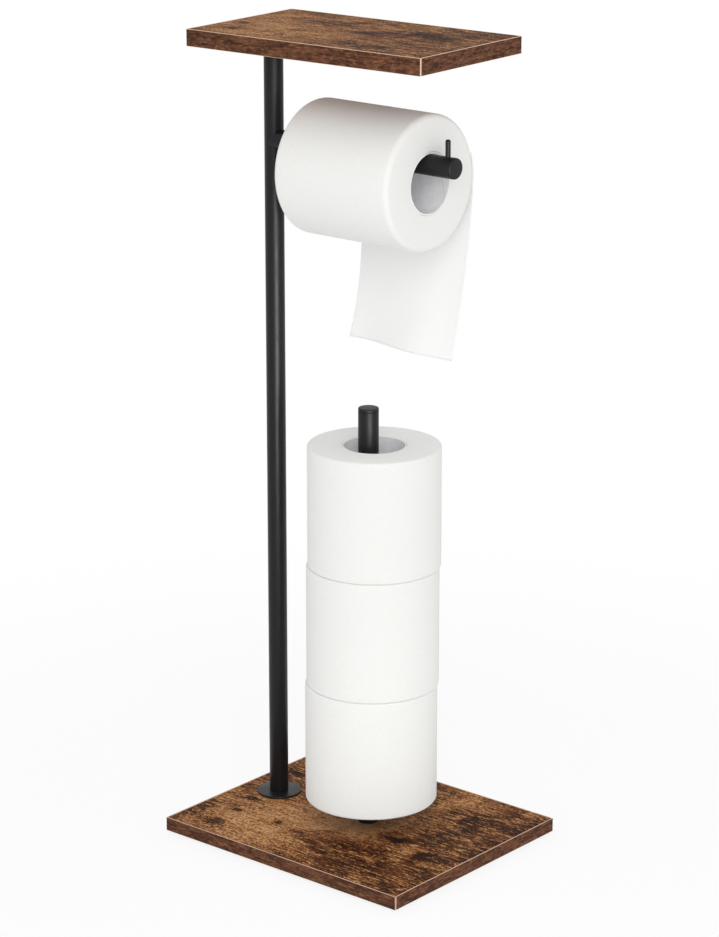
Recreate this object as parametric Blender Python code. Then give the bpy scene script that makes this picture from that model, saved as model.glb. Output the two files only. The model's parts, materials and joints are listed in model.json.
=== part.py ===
"""Free-standing toilet roll holder, loaded with one roll in use and three spares.

A base board carries a tall pole and a short post. The pole carries a shelf and,
below it, an arm for the roll in use. The post holds the spare rolls.

Metres, +Z up. The origin is on the floor below the middle of the base board.
+X runs along the base board, from the pole towards the open end of the arm,
and +Y runs to the back, the side on which the paper hangs down.
"""
import bpy
import bmesh
from math import cos, pi, radians, sin, sqrt, tan
from mathutils import Matrix, Vector

# Clearances and roundness
GAP = 0.0003                    # left between two pieces that touch
OVERRUN = 0.002                 # how far a cutter runs past the face it opens
ROLL_SIDES = 48
TUBE_SIDES = 32
SCREW_SIDES = 16
SOCKET_SIDES = 6                # hexagonal key sockets
SCREW_TIP_SHARE = 0.33          # of a shank's radius, bevelled off its tip
WELD = 0.000003                 # points nearer than this are one
SHARP_ANGLE = radians(35)       # edges sharper than this are shaded as edges

# Overall height, to the top of the shelf
TOTAL_HEIGHT = 0.680

# Base board, its edge bands and its feet
BASE_LENGTH = 0.252
BASE_DEPTH = 0.210
BASE_THICKNESS = 0.012
BAND_THICKNESS = 0.0012
BAND_BEVEL = 0.0005
BOARD_BEVEL = 0.0004
FOOT_DIAMETER = 0.018
FOOT_THICKNESS = 0.0015
FOOT_ROUNDING = 0.0005
FOOT_INSET = 0.019              # from the board's edges to the middle of a foot

# Shelf board, which sits turned a little about the pole
SHELF_LENGTH = 0.232
SHELF_DEPTH = 0.134
SHELF_THICKNESS = 0.014
SHELF_TURN = radians(2.6)

# Pole
POLE_DIAMETER = 0.016
POLE_WALL = 0.0012
POLE_INSET = 0.035              # from the left edge of either board to the pole's axis
ROSETTE_DIAMETER = 0.038
ROSETTE_THICKNESS = 0.0015
ROSETTE_ROUNDING = 0.0005

# Threaded inserts pressed into the ends of the tubes
INSERT_LENGTH = 0.018
INSERT_BORE_DEPTH = 0.015
INSERT_RECESS = 0.0002

# Bolts that come up through the base board into the pole and the post
BOLT_DIAMETER = 0.006
BOLT_GRIP = 0.013               # how far a bolt reaches into its insert
BOLT_HEAD_DIAMETER = 0.0105
BOLT_HEAD_HEIGHT = 0.0033
BOLT_HEAD_ROUNDING = 0.0018
BOLT_SOCKET_WIDTH = 0.004
BOLT_SOCKET_DEPTH = 0.0018
WASHER_DIAMETER = 0.012
WASHER_THICKNESS = 0.0016
COUNTERBORE_DIAMETER = 0.015
COUNTERBORE_DEPTH = 0.0058

# Round plate that holds the shelf on the pole
PLATE_DIAMETER = 0.060
PLATE_THICKNESS = 0.003
PLATE_ROUNDING = 0.0008
PLATE_SCREW_DIAMETER = 0.005
PLATE_SCREW_HEAD_DIAMETER = 0.0092
PLATE_SCREW_HEAD_HEIGHT = 0.0024
PLATE_SCREW_GRIP = 0.012        # how far it reaches into the pole's top insert
PLATE_SCREW_SOCKET_WIDTH = 0.003
PLATE_SCREW_SOCKET_DEPTH = 0.0012

# Wood screws from the plate up into the shelf
WOOD_SCREW_COUNT = 4
WOOD_SCREW_CIRCLE = 0.044       # diameter of the circle that they stand on
WOOD_SCREW_DIAMETER = 0.0035
WOOD_SCREW_DEPTH = 0.009        # how far a tip reaches into the shelf
WOOD_SCREW_POINT = 0.003
WOOD_SCREW_HEAD_DIAMETER = 0.007
WOOD_SCREW_HEAD_HEIGHT = 0.0024
WOOD_SCREW_HEAD_ROUNDING = 0.0014

# Arm for the roll in use
ARM_DROP = 0.081                # from the shelf's underside to the arm's axis
ARM_DIAMETER = 0.017
ARM_WALL = 0.0012
ARM_SADDLE_START = 0.004        # from the pole's axis to the tips of the arm's saddle cut
ARM_INSERT_START = 0.010        # from the pole's axis to the insert in the arm
ARM_SCREW_DIAMETER = 0.005
ARM_SCREW_GRIP = 0.012
ARM_SCREW_HEAD_DIAMETER = 0.0085
ARM_SCREW_HEAD_HEIGHT = 0.00275
ARM_SCREW_HEAD_ROUNDING = 0.0015
ARM_SCREW_SOCKET_WIDTH = 0.003
ARM_SCREW_SOCKET_DEPTH = 0.0015
SADDLE_DIAMETER = 0.0098        # of the saddle washer in the pole, and of the hole's plug
SADDLE_WALL = 0.0012            # of the saddle washer, at its thinnest
PLUG_COLLAR = 0.002             # length of the end plug that shows
PLUG_ROUNDING = 0.0014
PLUG_SPIGOT = 0.014

# Upright pin that stops the roll
PIN_DIAMETER = 0.0042
PIN_INSET = 0.0085              # from the arm's free end to the pin's axis
PIN_RISE = 0.0137               # above the arm
PIN_SINK = 0.0115               # below the top of the arm
PIN_ROUNDING = 0.0016

# Post for the spare rolls
POST_SPACING = 0.1005           # between the axes of the pole and the post
POST_DROP = 0.2085              # from the arm's axis to the top of the post
POST_DIAMETER = 0.017
POST_WALL = 0.0012
POST_CAP_COLLAR = 0.0024
POST_CAP_ROUNDING = 0.0009
POST_CAP_SPIGOT = 0.010

# Disc on the post on which the spare rolls stand
REST_RISE = 0.0229              # from the base board to the top of the disc
REST_DIAMETER = 0.060
REST_THICKNESS = 0.0018
REST_ROUNDING = 0.0006
REST_HUB_DIAMETER = 0.025
REST_HUB_DEPTH = 0.0065
REST_SCREW_DIAMETER = 0.004
REST_SCREW_SOCKET_WIDTH = 0.002
REST_SCREW_SOCKET_DEPTH = 0.0012

# Rolls
CORE_WALL = 0.0012
CORE_RECESS = 0.0005            # how far a core's ends lie inside the paper's
PAPER_BORE_ROUNDING = 0.0008
USED_ROLL_LENGTH = 0.117
USED_ROLL_RADIUS = 0.055
USED_ROLL_BORE = 0.048
USED_ROLL_ROUNDING = 0.0045
USED_ROLL_SETOFF = 0.039        # from the pole's surface to the roll
USED_ROLL_PLAY = 0.0149         # from the roll's outer end to the stop pin
SPARE_ROLL_LENGTH = 0.1025
SPARE_ROLL_RADIUS = 0.0553
SPARE_ROLL_BORE = 0.0505
SPARE_ROLL_ROUNDING = 0.0018

# Each spare roll stands a little off the post, by a share of its play round it:
# the first share for the lowest roll, and one step more for each roll above it
SPARE_PLAY_FIRST_SHARE = 0.15
SPARE_PLAY_STEP_SHARE = 0.07
SPARE_PLAY_DIRECTION = radians(40)

# Loose end of the paper, hanging down behind the roll
TAIL_DROP = 0.150               # below the roll's axis
TAIL_THICKNESS = 0.0004
TAIL_MARGIN = 0.0008            # from either end of the roll to the sheet's edge
TAIL_LAP = radians(18)          # how far up round the roll the sheet lies on it
TAIL_CURL_LEFT = 0.0167         # how far the lower corner curls in, on the pole's side
TAIL_CURL_RIGHT = 0.0284        # the same, on the open side
TAIL_BEND_LEFT = 3.7            # how late the curl sets in: higher is lower down
TAIL_BEND_RIGHT = 1.6
TAIL_WAVE = 0.0025              # height of the folds that run across the lower edge
TAIL_WAVE_WIDTH_SHARE = 0.8     # of the sheet's width, from one fold to the next
TAIL_WAVE_START_SHARE = 0.21    # of the sheet's width, from its left edge to a fold
TAIL_LAP_ROWS = 4
TAIL_DROP_ROWS = 12
TAIL_COLUMNS = 14

# Places worked out from the sizes above
BASE_BOTTOM = FOOT_THICKNESS + GAP
BASE_TOP = BASE_BOTTOM + BASE_THICKNESS
POLE_X = POLE_INSET - BASE_LENGTH / 2
POLE_RADIUS = POLE_DIAMETER / 2
POLE_BORE = POLE_DIAMETER - 2 * POLE_WALL
SHELF_BOTTOM = TOTAL_HEIGHT - SHELF_THICKNESS
PLATE_TOP = SHELF_BOTTOM - GAP
PLATE_BOTTOM = PLATE_TOP - PLATE_THICKNESS
POLE_BOTTOM = BASE_TOP + GAP
POLE_TOP = PLATE_BOTTOM - GAP
ARM_HEIGHT = SHELF_BOTTOM - ARM_DROP
ARM_RADIUS = ARM_DIAMETER / 2
ARM_BORE_RADIUS = ARM_RADIUS - ARM_WALL
ARM_TOP = ARM_HEIGHT + ARM_RADIUS
SADDLE_REACH = POLE_BORE / 2 - GAP
SADDLE_SEAT = sqrt(SADDLE_REACH ** 2 - (SADDLE_DIAMETER / 2) ** 2) - SADDLE_WALL
USED_ROLL_X = POLE_X + POLE_RADIUS + USED_ROLL_SETOFF
USED_ROLL_Z = ARM_TOP + GAP - USED_ROLL_BORE / 2
PIN_X = USED_ROLL_X + USED_ROLL_LENGTH + USED_ROLL_PLAY + PIN_DIAMETER / 2
ARM_REACH = PIN_X + PIN_INSET - POLE_X
POST_X = POLE_X + POST_SPACING
POST_TOP = ARM_HEIGHT - POST_DROP
POST_RADIUS = POST_DIAMETER / 2
REST_TOP = BASE_TOP + REST_RISE
SPARE_ROLL_COUNT = int((POST_TOP - REST_TOP) / (SPARE_ROLL_LENGTH + GAP))

# Colours as seen, and how rough and how metallic each surface is
FINISHES = {
    "wood_face": ((128, 88, 56), 0.55, 0.0),
    "wood_edge": ((104, 66, 44), 0.60, 0.0),
    "black_coat": ((38, 38, 40), 0.42, 0.2),
    "black_plastic": ((44, 44, 46), 0.50, 0.0),
    "zinc": ((168, 170, 174), 0.35, 1.0),
    "foam": ((52, 52, 54), 0.90, 0.0),
    "paper": ((238, 238, 236), 0.92, 0.0),
    "paper_sheet": ((232, 232, 232), 0.92, 0.0),
    "card": ((176, 174, 176), 0.85, 0.0),
}


def linear(channel):
    """Linear value of one 8-bit display channel."""
    value = channel / 255
    if value <= 0.04045:
        return value / 12.92
    return ((value + 0.055) / 1.055) ** 2.4


def surface(node, finish):
    """A Principled material of the named finish, for one node."""
    colour, roughness, metallic = FINISHES[finish]
    material = bpy.data.materials.new(node)
    material.use_nodes = True
    shader = material.node_tree.nodes["Principled BSDF"]
    shader.inputs["Base Color"].default_value = [linear(c) for c in colour] + [1.0]
    shader.inputs["Roughness"].default_value = roughness
    shader.inputs["Metallic"].default_value = metallic
    return material


def empty(name, parent=None, location=(0, 0, 0), turn=(0, 0, 0)):
    """A frame that carries pieces, with its origin and turn given in its parent's."""
    frame = bpy.data.objects.new(name, None)
    bpy.context.collection.objects.link(frame)
    frame.parent = parent
    frame.location = location
    frame.rotation_euler = turn
    return frame


def piece(name, form, finish, parent, location=(0, 0, 0), turn=(0, 0, 0)):
    """A finished sub-part made from a bmesh."""
    bmesh.ops.recalc_face_normals(form, faces=form.faces)
    mesh = bpy.data.meshes.new(name)
    form.to_mesh(mesh)
    form.free()
    mesh.shade_smooth()
    mesh.set_sharp_from_angle(angle=SHARP_ANGLE)
    thing = bpy.data.objects.new(name, mesh)
    thing.data.materials.append(surface(name, finish))
    bpy.context.collection.objects.link(thing)
    thing.parent = parent
    thing.location = location
    thing.rotation_euler = turn
    return thing


def cut(target, form, location=(0, 0, 0), turn=(0, 0, 0)):
    """Cut a bmesh out of a piece, placed in the frame that carries the piece."""
    cutter = piece(target.name + "_cutter", form, "zinc", target.parent, location, turn)
    cutter.hide_render = True
    cutter.display_type = "WIRE"
    boolean = target.modifiers.new("cut", "BOOLEAN")
    boolean.operation = "DIFFERENCE"
    boolean.solver = "EXACT"
    boolean.object = cutter


def turned(outline, sides=TUBE_SIDES):
    """Solid of revolution about Z. The outline is a loop of (radius, height) points,
    or starts and ends on the axis, in which case it is left open there."""
    form = bmesh.new()
    corners = [form.verts.new((radius, 0, height)) for radius, height in outline]
    runs = list(zip(corners, corners[1:]))
    if outline[0][0] > 0:
        runs.append((corners[-1], corners[0]))
    edges = [form.edges.new(run) for run in runs]
    bmesh.ops.spin(
        form,
        geom=corners + edges,
        cent=(0, 0, 0),
        axis=(0, 0, 1),
        angle=2 * pi,
        steps=sides,
        use_merge=True,
    )
    bmesh.ops.remove_doubles(form, verts=form.verts, dist=WELD)
    return form


def rounded(outline, radii, steps=3):
    """The outline with fillets, one radius for each of its corners, 0 where sharp."""
    points = []
    for index, radius in enumerate(radii):
        corner = Vector(outline[index])
        if radius == 0:
            points.append(tuple(corner))
            continue
        back = (Vector(outline[index - 1]) - corner).normalized()
        ahead = (Vector(outline[(index + 1) % len(outline)]) - corner).normalized()
        half = back.angle(ahead) / 2
        centre = corner + (back + ahead).normalized() * radius / sin(half)
        spoke = corner + back * radius / tan(half) - centre
        sweep = pi - 2 * half
        if back.cross(ahead) > 0:
            sweep = -sweep
        for step in range(steps + 1):
            points.append(tuple(centre + Matrix.Rotation(sweep * step / steps, 2) @ spoke))
    return points


def cylinder(diameter, bottom, top, sides=SCREW_SIDES):
    """A plain cylinder about Z, from one height to another."""
    radius = diameter / 2
    return turned([(0, bottom), (radius, bottom), (radius, top), (0, top)], sides)


def ring(outer, inner, bottom, top, rounding=0.0, sides=TUBE_SIDES):
    """A ring about Z of two diameters, with its outer edges rounded."""
    outline = [
        (inner / 2, bottom),
        (outer / 2, bottom),
        (outer / 2, top),
        (inner / 2, top),
    ]
    return turned(rounded(outline, (0, rounding, rounding, 0), steps=2), sides)


def copied(form, places):
    """One bmesh that holds a copy of the form at each place, and not the form itself."""
    source = bpy.data.meshes.new("source")
    form.to_mesh(source)
    form.free()
    group = bmesh.new()
    for place in places:
        start = len(group.verts)
        group.from_mesh(source)
        group.verts.ensure_lookup_table()
        bmesh.ops.translate(group, verts=group.verts[start:], vec=place)
    bpy.data.meshes.remove(source)
    return group


def block(length, depth, height, bevel):
    """A block with its middle at the origin and all its edges bevelled."""
    form = bmesh.new()
    bmesh.ops.create_cube(form, size=1)
    bmesh.ops.scale(form, verts=form.verts, vec=(length, depth, height))
    bmesh.ops.bevel(
        form,
        geom=form.edges,
        offset=bevel,
        offset_type="OFFSET",
        segments=1,
        profile=0.5,
        affect="EDGES",
        material=-1,
    )
    return form


def button_screw(diameter, length, head_diameter, head_height, head_rounding):
    """A screw about Z: its shank runs up from 0 and its rounded head lies below 0."""
    shank = diameter / 2
    head = head_diameter / 2
    tip = shank * SCREW_TIP_SHARE
    outline = [
        (0, length),
        (shank - tip, length),
        (shank, length - tip),
        (shank, 0),
        (head, 0),
        (head, -head_height),
        (0, -head_height),
    ]
    return turned(rounded(outline, (0, 0, 0, 0, 0, head_rounding, 0)), SCREW_SIDES)


def insert(bore_diameter, outer_diameter):
    """A threaded insert about Z, with its blind bore open at height 0."""
    bore = bore_diameter / 2
    outer = outer_diameter / 2
    outline = [
        (0, INSERT_BORE_DEPTH),
        (bore, INSERT_BORE_DEPTH),
        (bore, 0),
        (outer, 0),
        (outer, INSERT_LENGTH),
        (0, INSERT_LENGTH),
    ]
    return turned(outline, SCREW_SIDES)


def banded_board(name, length, depth, thickness, parent, location):
    """A wood board with a band glued along each of its four edges. The front band covers
    the ends of the side bands, and these cover the ends of the back band."""
    edge = BAND_THICKNESS + GAP
    core = block(length - 2 * edge, depth - 2 * edge, thickness, BOARD_BEVEL)
    board = piece(name + "_board", core, "wood_face", parent, location)
    across = (depth - BAND_THICKNESS) / 2
    along = (length - BAND_THICKNESS) / 2
    bands = {
        "front": (length, BAND_THICKNESS, (0, -across, 0)),
        "left": (BAND_THICKNESS, depth - edge, (-along, edge / 2, 0)),
        "right": (BAND_THICKNESS, depth - edge, (along, edge / 2, 0)),
        "back": (length - 2 * edge, BAND_THICKNESS, (0, across, 0)),
    }
    for place, (size_x, size_y, offset) in bands.items():
        band = block(size_x, size_y, thickness, BAND_BEVEL)
        middle = Vector(location) + Vector(offset)
        piece(name + "_band_" + place, band, "wood_edge", parent, middle)
    return board


def base(stand):
    """Base board on four feet, drilled and counterbored for its two bolts."""
    middle = (0, 0, BASE_BOTTOM + BASE_THICKNESS / 2)
    board = banded_board("base", BASE_LENGTH, BASE_DEPTH, BASE_THICKNESS, stand, middle)
    hole = BOLT_DIAMETER + 2 * GAP
    sunk = COUNTERBORE_DIAMETER
    low = BASE_BOTTOM - OVERRUN
    floor = BASE_BOTTOM + COUNTERBORE_DEPTH
    outline = [
        (0, low),
        (sunk / 2, low),
        (sunk / 2, floor),
        (hole / 2, floor),
        (hole / 2, BASE_TOP + OVERRUN),
        (0, BASE_TOP + OVERRUN),
    ]
    cut(board, copied(turned(outline, SCREW_SIDES), [(POLE_X, 0, 0), (POST_X, 0, 0)]))
    reach_x = BASE_LENGTH / 2 - FOOT_INSET
    reach_y = BASE_DEPTH / 2 - FOOT_INSET
    corners = {
        "front_left": (-reach_x, -reach_y),
        "front_right": (reach_x, -reach_y),
        "back_left": (-reach_x, reach_y),
        "back_right": (reach_x, reach_y),
    }
    radius = FOOT_DIAMETER / 2
    outline = [(0, 0), (radius, 0), (radius, FOOT_THICKNESS), (0, FOOT_THICKNESS)]
    outline = rounded(outline, (0, FOOT_ROUNDING, 0, 0), steps=2)
    for place, (x, y) in corners.items():
        piece("foot_" + place, turned(outline, SCREW_SIDES), "foam", stand, (x, y, 0))


def base_bolt(stand, name, x):
    """A bolt and washer that hold the pole or the post on the base board."""
    seat = BASE_BOTTOM + COUNTERBORE_DEPTH - GAP
    under = seat - WASHER_THICKNESS - GAP
    length = POLE_BOTTOM + INSERT_RECESS + BOLT_GRIP - under
    place = (x, 0, under)
    bolt = button_screw(
        BOLT_DIAMETER, length, BOLT_HEAD_DIAMETER, BOLT_HEAD_HEIGHT, BOLT_HEAD_ROUNDING
    )
    bolt = piece(name + "_bolt", bolt, "zinc", stand, place)
    bottom = -BOLT_HEAD_HEIGHT - OVERRUN
    socket = cylinder(
        BOLT_SOCKET_WIDTH, bottom, BOLT_SOCKET_DEPTH - BOLT_HEAD_HEIGHT, SOCKET_SIDES
    )
    cut(bolt, socket, place)
    bore = BOLT_DIAMETER + 2 * GAP
    washer = ring(WASHER_DIAMETER, bore, GAP, GAP + WASHER_THICKNESS, sides=SCREW_SIDES)
    piece(name + "_washer", washer, "zinc", stand, place)


def pole(stand):
    """Pole tube, drilled for the arm's screw, with its rosette and an insert in either
    end. The hole at the back lets the screw's head into the tube."""
    tube = ring(POLE_DIAMETER, POLE_BORE, POLE_BOTTOM, POLE_TOP)
    tube = piece("pole", tube, "black_coat", stand, (POLE_X, 0, 0))
    narrow = ARM_SCREW_DIAMETER / 2 + GAP
    wide = SADDLE_DIAMETER / 2 + GAP
    outline = [
        (0, -POLE_DIAMETER),
        (wide, -POLE_DIAMETER),
        (wide, 0),
        (narrow, 0),
        (narrow, POLE_DIAMETER),
        (0, POLE_DIAMETER),
    ]
    cut(tube, turned(outline), (POLE_X, 0, ARM_HEIGHT), (0, pi / 2, 0))
    rosette = ring(
        ROSETTE_DIAMETER,
        POLE_DIAMETER + 2 * GAP,
        POLE_BOTTOM,
        POLE_BOTTOM + ROSETTE_THICKNESS,
        ROSETTE_ROUNDING,
    )
    piece("pole_rosette", rosette, "black_coat", stand, (POLE_X, 0, 0))
    outer = POLE_BORE - 2 * GAP
    low = (POLE_X, 0, POLE_BOTTOM + INSERT_RECESS)
    lower = insert(BOLT_DIAMETER + 2 * GAP, outer)
    piece("pole_bottom_insert", lower, "zinc", stand, low)
    high = (POLE_X, 0, POLE_TOP - INSERT_RECESS)
    upper = insert(PLATE_SCREW_DIAMETER + 2 * GAP, outer)
    piece("pole_top_insert", upper, "zinc", stand, high, (pi, 0, 0))


def shelf(turntable):
    """Shelf board, the plate under it and its screws, turned together about the pole."""
    middle_x = SHELF_LENGTH / 2 - POLE_INSET
    middle = (middle_x, 0, SHELF_BOTTOM + SHELF_THICKNESS / 2)
    board = banded_board(
        "shelf", SHELF_LENGTH, SHELF_DEPTH, SHELF_THICKNESS, turntable, middle
    )
    quarter = 2 * pi / WOOD_SCREW_COUNT
    angles = [quarter * (number + 0.5) for number in range(WOOD_SCREW_COUNT)]
    reach = WOOD_SCREW_CIRCLE / 2
    spots = [(reach * cos(angle), reach * sin(angle), 0) for angle in angles]
    loose = WOOD_SCREW_DIAMETER + 2 * GAP
    pilot = cylinder(loose, SHELF_BOTTOM - OVERRUN, SHELF_BOTTOM + WOOD_SCREW_DEPTH + GAP)
    cut(board, copied(pilot, spots))

    plate = turned(
        rounded(
            [
                (0, PLATE_BOTTOM),
                (PLATE_DIAMETER / 2, PLATE_BOTTOM),
                (PLATE_DIAMETER / 2, PLATE_TOP),
                (0, PLATE_TOP),
            ],
            (0, PLATE_ROUNDING, 0, 0),
            steps=2,
        ),
    )
    plate = piece("shelf_plate", plate, "black_coat", turntable)
    shank = PLATE_SCREW_DIAMETER / 2
    head = PLATE_SCREW_HEAD_DIAMETER / 2
    head_top = PLATE_TOP - GAP
    head_bottom = head_top - PLATE_SCREW_HEAD_HEIGHT
    sink = [
        (0, PLATE_BOTTOM - OVERRUN),
        (shank + GAP, PLATE_BOTTOM - OVERRUN),
        (shank + GAP, head_bottom),
        (head + GAP, head_top),
        (head + GAP, PLATE_TOP + OVERRUN),
        (0, PLATE_TOP + OVERRUN),
    ]
    cut(plate, turned(sink, SCREW_SIDES))
    bore = cylinder(loose, PLATE_BOTTOM - OVERRUN, PLATE_TOP + OVERRUN)
    cut(plate, copied(bore, spots))

    tip = POLE_TOP - INSERT_RECESS - PLATE_SCREW_GRIP
    outline = [(0, tip), (shank, tip), (shank, head_bottom), (head, head_top), (0, head_top)]
    screw = piece("shelf_plate_screw", turned(outline, SCREW_SIDES), "zinc", turntable)
    socket = cylinder(
        PLATE_SCREW_SOCKET_WIDTH,
        head_top - PLATE_SCREW_SOCKET_DEPTH,
        head_top + OVERRUN,
        SOCKET_SIDES,
    )
    cut(screw, socket)

    shank = WOOD_SCREW_DIAMETER / 2
    head = WOOD_SCREW_HEAD_DIAMETER / 2
    seat = PLATE_BOTTOM - GAP
    tip = SHELF_BOTTOM + WOOD_SCREW_DEPTH
    outline = [
        (0, tip),
        (shank, tip - WOOD_SCREW_POINT),
        (shank, seat),
        (head, seat),
        (head, seat - WOOD_SCREW_HEAD_HEIGHT),
        (0, seat - WOOD_SCREW_HEAD_HEIGHT),
    ]
    outline = rounded(outline, (0, 0, 0, 0, WOOD_SCREW_HEAD_ROUNDING, 0))
    for number, spot in enumerate(spots, start=1):
        screw = turned(outline, SCREW_SIDES)
        piece("shelf_screw_%d" % number, screw, "zinc", turntable, spot)


def round_pole(diameter):
    """A thick sleeve about the pole's axis at the arm, open to a bore of the diameter."""
    low = ARM_HEIGHT - ARM_DIAMETER
    high = ARM_HEIGHT + ARM_DIAMETER
    return ring(POLE_DIAMETER + ARM_DIAMETER, diameter, low, high)


def arm(stand):
    """Arm tube coped to the pole, its end plug, its stop pin and what fastens it."""
    along = (0, pi / 2, 0)
    root = (POLE_X, 0, ARM_HEIGHT)
    end = ARM_REACH - PLUG_COLLAR
    tube = ring(ARM_DIAMETER, 2 * ARM_BORE_RADIUS, ARM_SADDLE_START, end - GAP)
    tube = piece("arm", tube, "black_coat", stand, root, along)
    around = cylinder(
        POLE_DIAMETER + 2 * GAP,
        ARM_HEIGHT - ARM_DIAMETER,
        ARM_HEIGHT + ARM_DIAMETER,
        TUBE_SIDES,
    )
    cut(tube, around, (POLE_X, 0, 0))

    pin_low = ARM_TOP - PIN_SINK
    pin_high = ARM_TOP + PIN_RISE
    bore = PIN_DIAMETER + 2 * GAP
    cut(tube, cylinder(bore, ARM_HEIGHT, ARM_TOP + OVERRUN), (PIN_X, 0, 0))
    radius = PIN_DIAMETER / 2
    outline = [(0, pin_low), (radius, pin_low), (radius, pin_high), (0, pin_high)]
    outline = rounded(outline, (0, 0, PIN_ROUNDING, 0))
    pin = turned(outline, SCREW_SIDES)
    piece("stop_pin", pin, "black_coat", stand, (PIN_X, 0, 0))

    spigot = ARM_BORE_RADIUS - GAP
    outline = [
        (0, end - PLUG_SPIGOT),
        (spigot, end - PLUG_SPIGOT),
        (spigot, end),
        (ARM_RADIUS, end),
        (ARM_RADIUS, ARM_REACH),
        (0, ARM_REACH),
    ]
    outline = rounded(outline, (0, 0, 0, 0, PLUG_ROUNDING, 0))
    plug = piece("arm_end_plug", turned(outline), "black_plastic", stand, root, along)
    cut(plug, cylinder(bore, pin_low - GAP, ARM_TOP + OVERRUN), (PIN_X, 0, 0))

    screw_bore = ARM_SCREW_DIAMETER + 2 * GAP
    threads = insert(screw_bore, 2 * spigot)
    start = (POLE_X + ARM_INSERT_START, 0, ARM_HEIGHT)
    piece("arm_insert", threads, "zinc", stand, start, along)
    saddle = ring(SADDLE_DIAMETER, screw_bore, SADDLE_SEAT, POLE_RADIUS, sides=SCREW_SIDES)
    saddle = piece("arm_screw_saddle", saddle, "zinc", stand, root, along)
    cut(saddle, round_pole(2 * SADDLE_REACH), (POLE_X, 0, 0))
    seat = SADDLE_SEAT - GAP
    screw = button_screw(
        ARM_SCREW_DIAMETER,
        ARM_INSERT_START + ARM_SCREW_GRIP - seat,
        ARM_SCREW_HEAD_DIAMETER,
        ARM_SCREW_HEAD_HEIGHT,
        ARM_SCREW_HEAD_ROUNDING,
    )
    place = (POLE_X + seat, 0, ARM_HEIGHT)
    screw = piece("arm_screw", screw, "zinc", stand, place, along)
    socket = cylinder(
        ARM_SCREW_SOCKET_WIDTH,
        -ARM_SCREW_HEAD_HEIGHT - OVERRUN,
        ARM_SCREW_SOCKET_DEPTH - ARM_SCREW_HEAD_HEIGHT,
        SOCKET_SIDES,
    )
    cut(screw, socket, place, along)
    behind = seat - ARM_SCREW_HEAD_HEIGHT - GAP
    stopper = cylinder(SADDLE_DIAMETER, -POLE_RADIUS - OVERRUN, behind, TUBE_SIDES)
    stopper = piece("arm_hole_plug", stopper, "black_plastic", stand, root, along)
    cut(stopper, round_pole(POLE_DIAMETER), (POLE_X, 0, 0))


def post(stand):
    """Post tube with its cap and insert, and the disc on which the spare rolls stand."""
    place = (POST_X, 0, 0)
    bore = POST_DIAMETER - 2 * POST_WALL
    tube_top = POST_TOP - POST_CAP_COLLAR - GAP
    tube = ring(POST_DIAMETER, bore, POLE_BOTTOM, tube_top)
    piece("post", tube, "black_coat", stand, place)
    shoulder = POST_TOP - POST_CAP_COLLAR
    spigot = bore / 2 - GAP
    outline = [
        (0, shoulder - POST_CAP_SPIGOT),
        (spigot, shoulder - POST_CAP_SPIGOT),
        (spigot, shoulder),
        (POST_RADIUS, shoulder),
        (POST_RADIUS, POST_TOP),
        (0, POST_TOP),
    ]
    outline = rounded(outline, (0, 0, 0, 0, POST_CAP_ROUNDING, 0))
    piece("post_cap", turned(outline), "black_plastic", stand, place)
    threads = insert(BOLT_DIAMETER + 2 * GAP, bore - 2 * GAP)
    low = (POST_X, 0, POLE_BOTTOM + INSERT_RECESS)
    piece("post_insert", threads, "zinc", stand, low)

    under = REST_TOP - REST_THICKNESS
    hub_low = under - REST_HUB_DEPTH
    inner = POST_RADIUS + GAP
    outline = [
        (inner, hub_low),
        (REST_HUB_DIAMETER / 2, hub_low),
        (REST_HUB_DIAMETER / 2, under),
        (REST_DIAMETER / 2, under),
        (REST_DIAMETER / 2, REST_TOP),
        (inner, REST_TOP),
    ]
    outline = rounded(outline, (0, 0, 0, REST_ROUNDING, REST_ROUNDING, 0), steps=2)
    rest = piece("roll_rest", turned(outline), "black_coat", stand, place)
    middle = (POST_X, 0, hub_low + REST_HUB_DEPTH / 2)
    back = (-pi / 2, 0, 0)
    bore = cylinder(REST_SCREW_DIAMETER + 2 * GAP, 0, REST_HUB_DIAMETER)
    cut(rest, bore, middle, back)
    tip = inner
    end = REST_HUB_DIAMETER / 2
    grub = cylinder(REST_SCREW_DIAMETER, tip, end)
    grub = piece("roll_rest_screw", grub, "zinc", stand, middle, back)
    socket = cylinder(
        REST_SCREW_SOCKET_WIDTH, end - REST_SCREW_SOCKET_DEPTH, end + OVERRUN, SOCKET_SIDES
    )
    cut(grub, socket, middle, back)


def roll(name, radius, bore, length, rounding, parent):
    """A wound roll about its frame's Z, from height 0 up: the paper, and its card core."""
    core = bore + 2 * CORE_WALL
    inner = core / 2 + GAP
    outline = [(inner, 0), (radius, 0), (radius, length), (inner, length)]
    edge = PAPER_BORE_ROUNDING
    outline = rounded(outline, (edge, rounding, rounding, edge), steps=2)
    piece(name + "_paper", turned(outline, ROLL_SIDES), "paper", parent)
    tube = ring(core, bore, CORE_RECESS, length - CORE_RECESS, sides=ROLL_SIDES)
    piece(name + "_core", tube, "card", parent)


def tail_point(across, fall):
    """A point of the hanging sheet's inner face, in the frame of the roll in use.
    across runs from 0 on the pole's side to 1, and fall from 0 to 1 down the drop."""
    curl = TAIL_CURL_LEFT + (TAIL_CURL_RIGHT - TAIL_CURL_LEFT) * across
    bend = TAIL_BEND_LEFT + (TAIL_BEND_RIGHT - TAIL_BEND_LEFT) * across
    along = TAIL_MARGIN + (USED_ROLL_LENGTH - 2 * TAIL_MARGIN) * across
    turn = 2 * pi * (across - TAIL_WAVE_START_SHARE) / TAIL_WAVE_WIDTH_SHARE
    fold = TAIL_WAVE * cos(turn) * fall ** 2
    out = USED_ROLL_RADIUS + GAP - curl * fall ** bend + fold
    return Vector((along, out, -TAIL_DROP * fall))


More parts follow.
